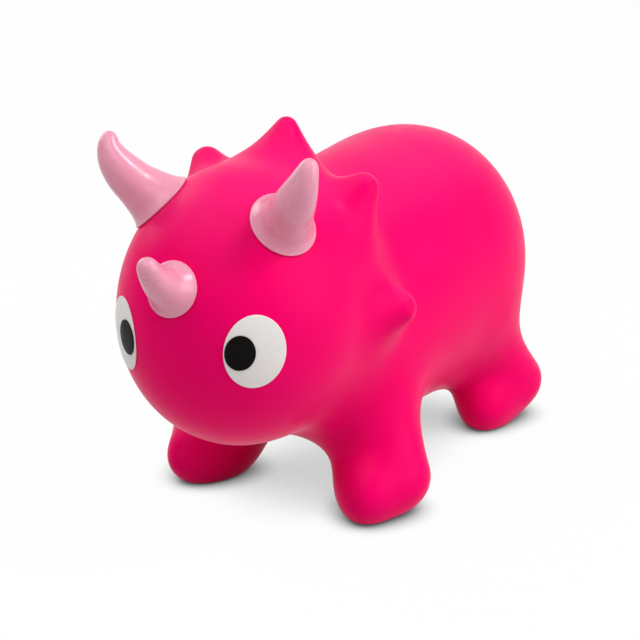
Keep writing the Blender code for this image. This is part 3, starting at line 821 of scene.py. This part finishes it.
def build_seat():
    """Flanged ring that holds the stopper."""
    face = BELLY - BOSS_PROUD - FIT_GAP
    low = face - SEAT_FLANGE
    top = low + SEAT_LENGTH
    neck = BORE_RADIUS - FIT_GAP
    profile = rounded(((SEAT_BORE_RADIUS, low), (SEAT_FLANGE_RADIUS, low),
                       (SEAT_FLANGE_RADIUS, face), (neck, face), (neck, top),
                       (SEAT_BORE_RADIUS, top)), VALVE_FILLET)
    rings = turned(profile)
    points = np.concatenate(rings)
    faces = []
    count = len(rings)
    for r in range(count):
        up = (r + 1) % count
        faces += ring_faces(range(r * VALVE_SEGMENTS, (r + 1) * VALVE_SEGMENTS),
                            range(up * VALVE_SEGMENTS, (up + 1) * VALVE_SEGMENTS))
    return add_object("valve_ring", points + SHIFT, faces)


def build_tab(low, high):
    """Flat pull tab with a round end, between these heights."""
    half = PLUG_TAB_HALF_WIDTH
    outline = [(-half, 0.0), (half, 0.0)]
    for step in range(PLUG_TAB_STEPS + 1):
        turn = math.pi * step / PLUG_TAB_STEPS
        outline.append((half * math.cos(turn), PLUG_TAB_REACH - half + half * math.sin(turn)))
    count = len(outline)
    points = [(x, y + VALVE_Y, z) for z in (low, high) for x, y in outline]
    faces = [tuple(reversed(range(count))), tuple(range(count, 2 * count))]
    faces += ring_faces(range(count), range(count, 2 * count))
    return add_object("tab", np.array(points) + SHIFT, faces)


def merge(whole, part):
    """Join a second object into the first as one closed mesh."""
    join = whole.modifiers.new("join", "BOOLEAN")
    join.operation = "UNION"
    join.solver = "EXACT"
    join.object = part
    bpy.context.view_layer.update()
    graph = bpy.context.evaluated_depsgraph_get()
    whole.data = bpy.data.meshes.new_from_object(whole.evaluated_get(graph))
    whole.modifiers.clear()
    bpy.data.objects.remove(part, do_unlink=True)


def build_plug():
    """Stopper with a waisted stem, a round flange and a pull tab."""
    cap_top = BELLY - BOSS_PROUD - FIT_GAP - SEAT_FLANGE - FIT_GAP
    cap_low = cap_top - PLUG_FLANGE
    stem = SEAT_BORE_RADIUS - FIT_GAP
    cuts = (0.0, PLUG_WAIST, PLUG_WAIST, 0.0, 0.0)
    heights = [cap_top + h for h in PLUG_WAIST_HEIGHTS]
    profile = []
    for step in range(VALVE_FILLET_STEPS + 1):
        turn = math.pi / 2.0 * step / VALVE_FILLET_STEPS
        profile.append((PLUG_FLANGE_RADIUS - VALVE_FILLET * (1.0 - math.sin(turn)),
                        cap_low + VALVE_FILLET * (1.0 - math.cos(turn))))
    profile += [(PLUG_FLANGE_RADIUS, cap_top), (stem, cap_top)]
    profile += [(stem - cut, z) for cut, z in zip(cuts, heights)]
    profile.append((stem - PLUG_NOSE_STEP, cap_top + PLUG_LENGTH))
    low = np.array((0.0, VALVE_Y, cap_low))
    high = np.array((0.0, VALVE_Y, cap_top + PLUG_LENGTH))
    points, faces = close_rings(turned(profile), low, high)
    plug = add_object("valve_stopper", points + SHIFT, faces)
    merge(plug, build_tab(cap_low + PLUG_TAB_INSET, cap_top - PLUG_TAB_INSET))
    plug.data.polygons.foreach_set("use_smooth", [True] * len(plug.data.polygons))
    plug.data.set_sharp_from_angle(angle=math.radians(PLUG_SHARP_ANGLE))
    return plug


class Shader:
    """Small helper that adds and joins shader nodes."""

    def __init__(self, name):
        self.material = bpy.data.materials.new(name)
        self.material.use_nodes = True
        self.tree = self.material.node_tree
        self.surface = self.tree.nodes["Principled BSDF"]
        coordinate = self.add("ShaderNodeTexCoord")
        self.place = coordinate.outputs["Object"]
        self.facing = coordinate.outputs["Normal"]

    def add(self, kind, **settings):
        node = self.tree.nodes.new(kind)
        for key, value in settings.items():
            setattr(node, key, value)
        return node

    def link(self, start, end):
        self.tree.links.new(start, end)

    def noise(self, scale, detail, roughness=0.5):
        """Even noise over the object, in object space."""
        node = self.add("ShaderNodeTexNoise")
        self.link(self.place, node.inputs["Vector"])
        node.inputs["Scale"].default_value = scale
        node.inputs["Detail"].default_value = detail
        node.inputs["Roughness"].default_value = roughness
        return node.outputs["Fac"]

    def spread(self, value, low, high, start=0.30, end=0.70, kind="LINEAR"):
        """Value laid out from low to high between its start and end."""
        node = self.add("ShaderNodeMapRange", interpolation_type=kind)
        self.link(value, node.inputs["Value"])
        node.inputs["From Min"].default_value = start
        node.inputs["From Max"].default_value = end
        node.inputs["To Min"].default_value = low
        node.inputs["To Max"].default_value = high
        return node.outputs["Result"]

    def fade(self, value, low, high, start, end):
        """The same, with soft ends."""
        return self.spread(value, low, high, start, end, "SMOOTHSTEP")

    def maths(self, operation, first, second):
        node = self.add("ShaderNodeMath", operation=operation)
        self.link(first, node.inputs[0])
        self.link(second, node.inputs[1])
        return node.outputs["Value"]

    def openness(self, reach):
        """One in the open, less where other surfaces within reach cover this one."""
        node = self.add("ShaderNodeAmbientOcclusion", samples=SHADE_SAMPLES)
        node.inputs["Distance"].default_value = reach
        return node.outputs["AO"]

    def mix(self, factor, first, second):
        """Colour between two, each a plain colour or another node's."""
        node = self.add("ShaderNodeMix", data_type="RGBA")
        self.link(factor, node.inputs["Factor"])
        for socket, value in ((node.inputs["A"], first), (node.inputs["B"], second)):
            if isinstance(value, tuple):
                socket.default_value = value
            else:
                self.link(value, socket)
        return node.outputs["Result"]

    def bump(self, height, distance, strength, below=None):
        """Surface relief, laid over a coarser one below it."""
        node = self.add("ShaderNodeBump")
        self.link(height, node.inputs["Height"])
        node.inputs["Distance"].default_value = distance
        node.inputs["Strength"].default_value = strength
        if below is not None:
            self.link(below, node.inputs["Normal"])
        return node.outputs["Normal"]

    def set(self, **values):
        """Constants of the surface shader."""
        for key, value in values.items():
            self.surface.inputs[key.replace("_", " ")].default_value = value

    def feed(self, socket, value):
        """Drive one input of the surface shader."""
        self.link(value, self.surface.inputs[socket])


def skin_material():
    """Satin hot pink vinyl: fine moulding grain, pigment clouds, a paler painted highlight on
    top.
    """
    s = Shader("satin_pink_vinyl")
    clouds = s.spread(s.noise(scale=11.0, detail=3.0), low=0.0, high=1.0)
    speck_noise = s.noise(scale=420.0, detail=2.0, roughness=0.7)
    specks = s.spread(speck_noise, low=0.0, high=0.25, start=0.45, end=0.75)
    colour = s.mix(specks, s.mix(clouds, *SKIN_SHADES), SKIN_SPECK)
    # Painted highlight: the skin is mixed towards a paler pink where its normal points up
    upward = s.add("ShaderNodeSeparateXYZ")
    s.link(s.facing, upward.inputs["Vector"])
    painted_highlight = s.fade(upward.outputs["Z"], low=0.0, high=1.0, start=PAINTED_HIGHLIGHT_START, end=PAINTED_HIGHLIGHT_END)
    patchy = s.spread(s.noise(scale=7.0, detail=4.0, roughness=0.6), low=0.65, high=1.0)
    s.feed("Base Color", s.mix(s.maths("MULTIPLY", painted_highlight, patchy), colour, SKIN_PAINTED_HIGHLIGHT))
    uneven = s.noise(scale=60.0, detail=4.0, roughness=0.6)
    s.feed("Roughness", s.spread(uneven, low=0.30, high=0.38))
    peel = s.bump(s.noise(scale=160.0, detail=2.0), distance=0.0003, strength=0.07)
    grain = s.noise(scale=1500.0, detail=2.0)
    s.feed("Normal", s.bump(grain, distance=0.00008, strength=0.15, below=peel))
    s.set(Specular_IOR_Level=0.024, IOR=1.5, Sheen_Weight=0.08, Sheen_Roughness=0.34)
    return s.material


def horn_material():
    """Glossy pale pink vinyl with a soft pearl-like clouding."""
    s = Shader("glossy_pale_vinyl")
    clouds = s.spread(s.noise(scale=26.0, detail=3.0), low=0.0, high=1.0)
    s.feed("Base Color", s.mix(clouds, *HORN_SHADES))
    s.feed("Roughness", s.spread(s.noise(scale=90.0, detail=3.0), low=0.25, high=0.32))
    s.feed("Normal", s.bump(s.noise(scale=240.0, detail=2.0), distance=0.0002, strength=0.05))
    s.set(Specular_IOR_Level=0.5, IOR=1.5)
    return s.material


def print_material(name, shades, roughness):
    """Flat printed ink with a fine uneven lay."""
    s = Shader(name)
    lay = s.spread(s.noise(scale=190.0, detail=4.0, roughness=0.65), low=0.0, high=1.0)
    s.feed("Base Color", s.mix(lay, *shades))
    uneven = s.noise(scale=120.0, detail=3.0)
    s.feed("Roughness", s.spread(uneven, low=roughness - 0.05, high=roughness + 0.07))
    s.feed("Normal", s.bump(s.noise(scale=1100.0, detail=2.0), distance=0.00006, strength=0.30))
    s.set(Specular_IOR_Level=0.06, IOR=1.5)
    return s.material


def valve_material(name, shades, roughness):
    """Plain moulded valve part with a fine matt grain."""
    s = Shader(name)
    clouds = s.spread(s.noise(scale=140.0, detail=3.0), low=0.0, high=1.0)
    s.feed("Base Color", s.mix(clouds, *shades))
    uneven = s.noise(scale=260.0, detail=3.0)
    s.feed("Roughness", s.spread(uneven, low=roughness - 0.06, high=roughness + 0.06))
    s.feed("Normal", s.bump(s.noise(scale=1300.0, detail=2.0), distance=0.00008, strength=0.40))
    s.set(Specular_IOR_Level=0.35, IOR=1.5)
    return s.material


def dress(piece, material, body, node):
    """Give a piece its finish, its body and the node that it stands for."""
    piece.data.materials.clear()
    piece.data.materials.append(material)
    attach(piece, body)
    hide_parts(node)


def seen_directly(tree):
    """One for camera, glossy and transmission rays, zero for light that spreads."""
    path = tree.nodes.new("ShaderNodeLightPath")
    first = tree.nodes.new("ShaderNodeMath")
    first.operation = "MAXIMUM"
    tree.links.new(path.outputs["Is Camera Ray"], first.inputs[0])
    tree.links.new(path.outputs["Is Glossy Ray"], first.inputs[1])
    second = tree.nodes.new("ShaderNodeMath")
    second.operation = "MAXIMUM"
    tree.links.new(first.outputs["Value"], second.inputs[0])
    tree.links.new(path.outputs["Is Transmission Ray"], second.inputs[1])
    return second.outputs["Value"]


def build_floor():
    """White glowing floor, with painted shade under the object and near its feet."""
    angles = 2.0 * math.pi * np.arange(FLOOR_SIDES) / FLOOR_SIDES
    ring = [(FLOOR_RADIUS * math.cos(a), FLOOR_RADIUS * math.sin(a), 0.0) for a in angles]
    floor = add_object("studio_floor", ring, [tuple(range(FLOOR_SIDES))])
    s = Shader("floor_paint")
    s.set(Roughness=FLOOR_ROUGHNESS, Specular_IOR_Level=0.0)
    direct = seen_directly(s.tree)
    clouds = s.spread(s.noise(scale=3.0, detail=3.0), low=0.0, high=1.0)
    s.feed("Base Color", s.mix(direct, FLOOR_BOUNCE, s.mix(clouds, *FLOOR_SHADES)))
    # Painted shade: the glow darkens where the object covers the floor's sky; the lamps' own
    # shadow is only the small lit share
    under = s.fade(s.openness(UNDER_SHADE_REACH), low=UNDER_SHADE_DARKEST, high=1.0,
                   start=0.0, end=UNDER_SHADE_END)
    close = s.fade(s.openness(SOLE_SHADE_REACH), low=SOLE_SHADE_DARKEST, high=1.0,
                   start=0.0, end=SOLE_SHADE_END)
    glow = s.add("ShaderNodeEmission")
    s.link(s.maths("MULTIPLY", under, close), glow.inputs["Strength"])
    mix = s.add("ShaderNodeMixShader")
    s.link(s.spread(direct, low=0.0, high=FLOOR_GLOW, start=0.0, end=1.0), mix.inputs["Fac"])
    s.link(s.surface.outputs["BSDF"], mix.inputs[1])
    s.link(glow.outputs["Emission"], mix.inputs[2])
    s.link(mix.outputs["Shader"], s.tree.nodes["Material Output"].inputs["Surface"])
    floor.data.materials.append(s.material)


def build_world():
    """Dim even light from all sides, seen as plain white."""
    world = bpy.data.worlds.new("studio")
    bpy.context.scene.world = world
    world.use_nodes = True
    tree = world.node_tree
    background = tree.nodes["Background"]
    background.inputs["Color"].default_value = (1.0, 1.0, 1.0, 1.0)
    strength = tree.nodes.new("ShaderNodeMapRange")
    strength.inputs["To Min"].default_value = SKY_LIGHT
    strength.inputs["To Max"].default_value = 1.0
    tree.links.new(seen_directly(tree), strength.inputs["Value"])
    tree.links.new(strength.outputs["Result"], background.inputs["Strength"])


def aimed(place, target):
    """World matrix of a lamp or camera that looks from place to target."""
    back = (Vector(place) - Vector(target)).normalized()
    right = Vector((0.0, 0.0, 1.0)).cross(back).normalized()
    up = back.cross(right)
    turn = Matrix((right, up, back)).transposed().to_4x4()
    return Matrix.Translation(Vector(place)) @ turn


def add_light(name, place, size, power):
    """Round soft lamp that faces the object."""
    lamp = bpy.data.lights.new(name, "AREA")
    lamp.shape = "DISK"
    lamp.size = size
    lamp.energy = power
    obj = bpy.data.objects.new(name, lamp)
    obj.matrix_world = aimed(place, LIGHT_AIM)
    bpy.context.scene.collection.objects.link(obj)


def add_camera():
    """Camera that stands where the photograph was taken from."""
    azimuth = math.radians(CAMERA_AZIMUTH)
    elevation = math.radians(CAMERA_ELEVATION)
    back = Vector((math.sin(azimuth) * math.cos(elevation),
                   -math.cos(azimuth) * math.cos(elevation), math.sin(elevation)))
    target = Vector(CAMERA_TARGET) + Vector(SHIFT)
    data = bpy.data.cameras.new("camera")
    data.sensor_width = SENSOR_WIDTH
    data.lens = CAMERA_DISTANCE * PIXELS_PER_METRE * SENSOR_WIDTH / IMAGE_WIDTH
    camera = bpy.data.objects.new("camera", data)
    camera.matrix_world = aimed(target + back * CAMERA_DISTANCE, target)
    bpy.context.scene.collection.objects.link(camera)
    bpy.context.scene.camera = camera


def build_object():
    """Every piece of the toy, with its finish and its node."""
    dress(build_skin(), skin_material(), "toy", "body_skin")
    horn_finish = horn_material()
    brow = (BROW_BASE, BROW_BEND_OFFSET, BROW_TIP_OFFSET, BROW_FOOT_RADIUS, BROW_RADII,
            BROW_FLARE_LENGTH)
    right_brow = (BROW_BASE, BROW_BEND_OFFSET, RIGHT_BROW_TIP_OFFSET, BROW_FOOT_RADIUS,
                  BROW_RADII, BROW_FLARE_LENGTH)
    nose = (NOSE_BASE, NOSE_BEND_OFFSET, NOSE_TIP_OFFSET, NOSE_FOOT_RADIUS, NOSE_RADII,
            NOSE_FLARE_LENGTH)
    for name, shape, mirror, node in (("horn_brow_l", brow, False, "brow_horn_left"),
                                      ("horn_brow_r", right_brow, True, "brow_horn_right"),
                                      ("horn_nose", nose, False, "nose_horn")):
        dress(build_horn(name, *shape, mirror), horn_finish, "toy", node)
    white = print_material("white_print", WHITE_SHADES, WHITE_ROUGHNESS)
    black = print_material("black_print", BLACK_SHADES, BLACK_ROUGHNESS)
    for side, place in (("left", EYE_LEFT), ("right", EYE_RIGHT)):
        eye = build_film("eye_print_" + side, place, EYE_HALF_WIDTH, EYE_HALF_HEIGHT,
                         SEAT_GAP, EYE_SEGMENTS, EYE_RINGS)
        dress(eye, white, "toy", "eye_white_" + side)
        inward = -math.copysign(PUPIL_INSET, place[0])
        gaze = (place[0] + inward, place[1] - PUPIL_FORWARD, place[2] + PUPIL_RISE)
        pupil = build_film("pupil_print_" + side, gaze, PUPIL_HALF_WIDTH, PUPIL_HALF_HEIGHT,
                           SEAT_GAP + FILM + FIT_GAP, PUPIL_SEGMENTS, PUPIL_RINGS)
        dress(pupil, black, "toy", "pupil_" + side)
    seat_finish = valve_material("pink_valve_vinyl", SEAT_SHADES, SEAT_ROUGHNESS)
    plug_finish = valve_material("off_white_plastic", PLUG_SHADES, PLUG_ROUGHNESS)
    dress(build_seat(), seat_finish, "toy", "valve_seat")
    dress(build_plug(), plug_finish, "plug", "valve_plug")


build_object()
build_floor()
build_world()
for lamp in LIGHTS:
    add_light(*lamp)
add_camera()
bpy.context.scene.view_settings.view_transform = "Standard"
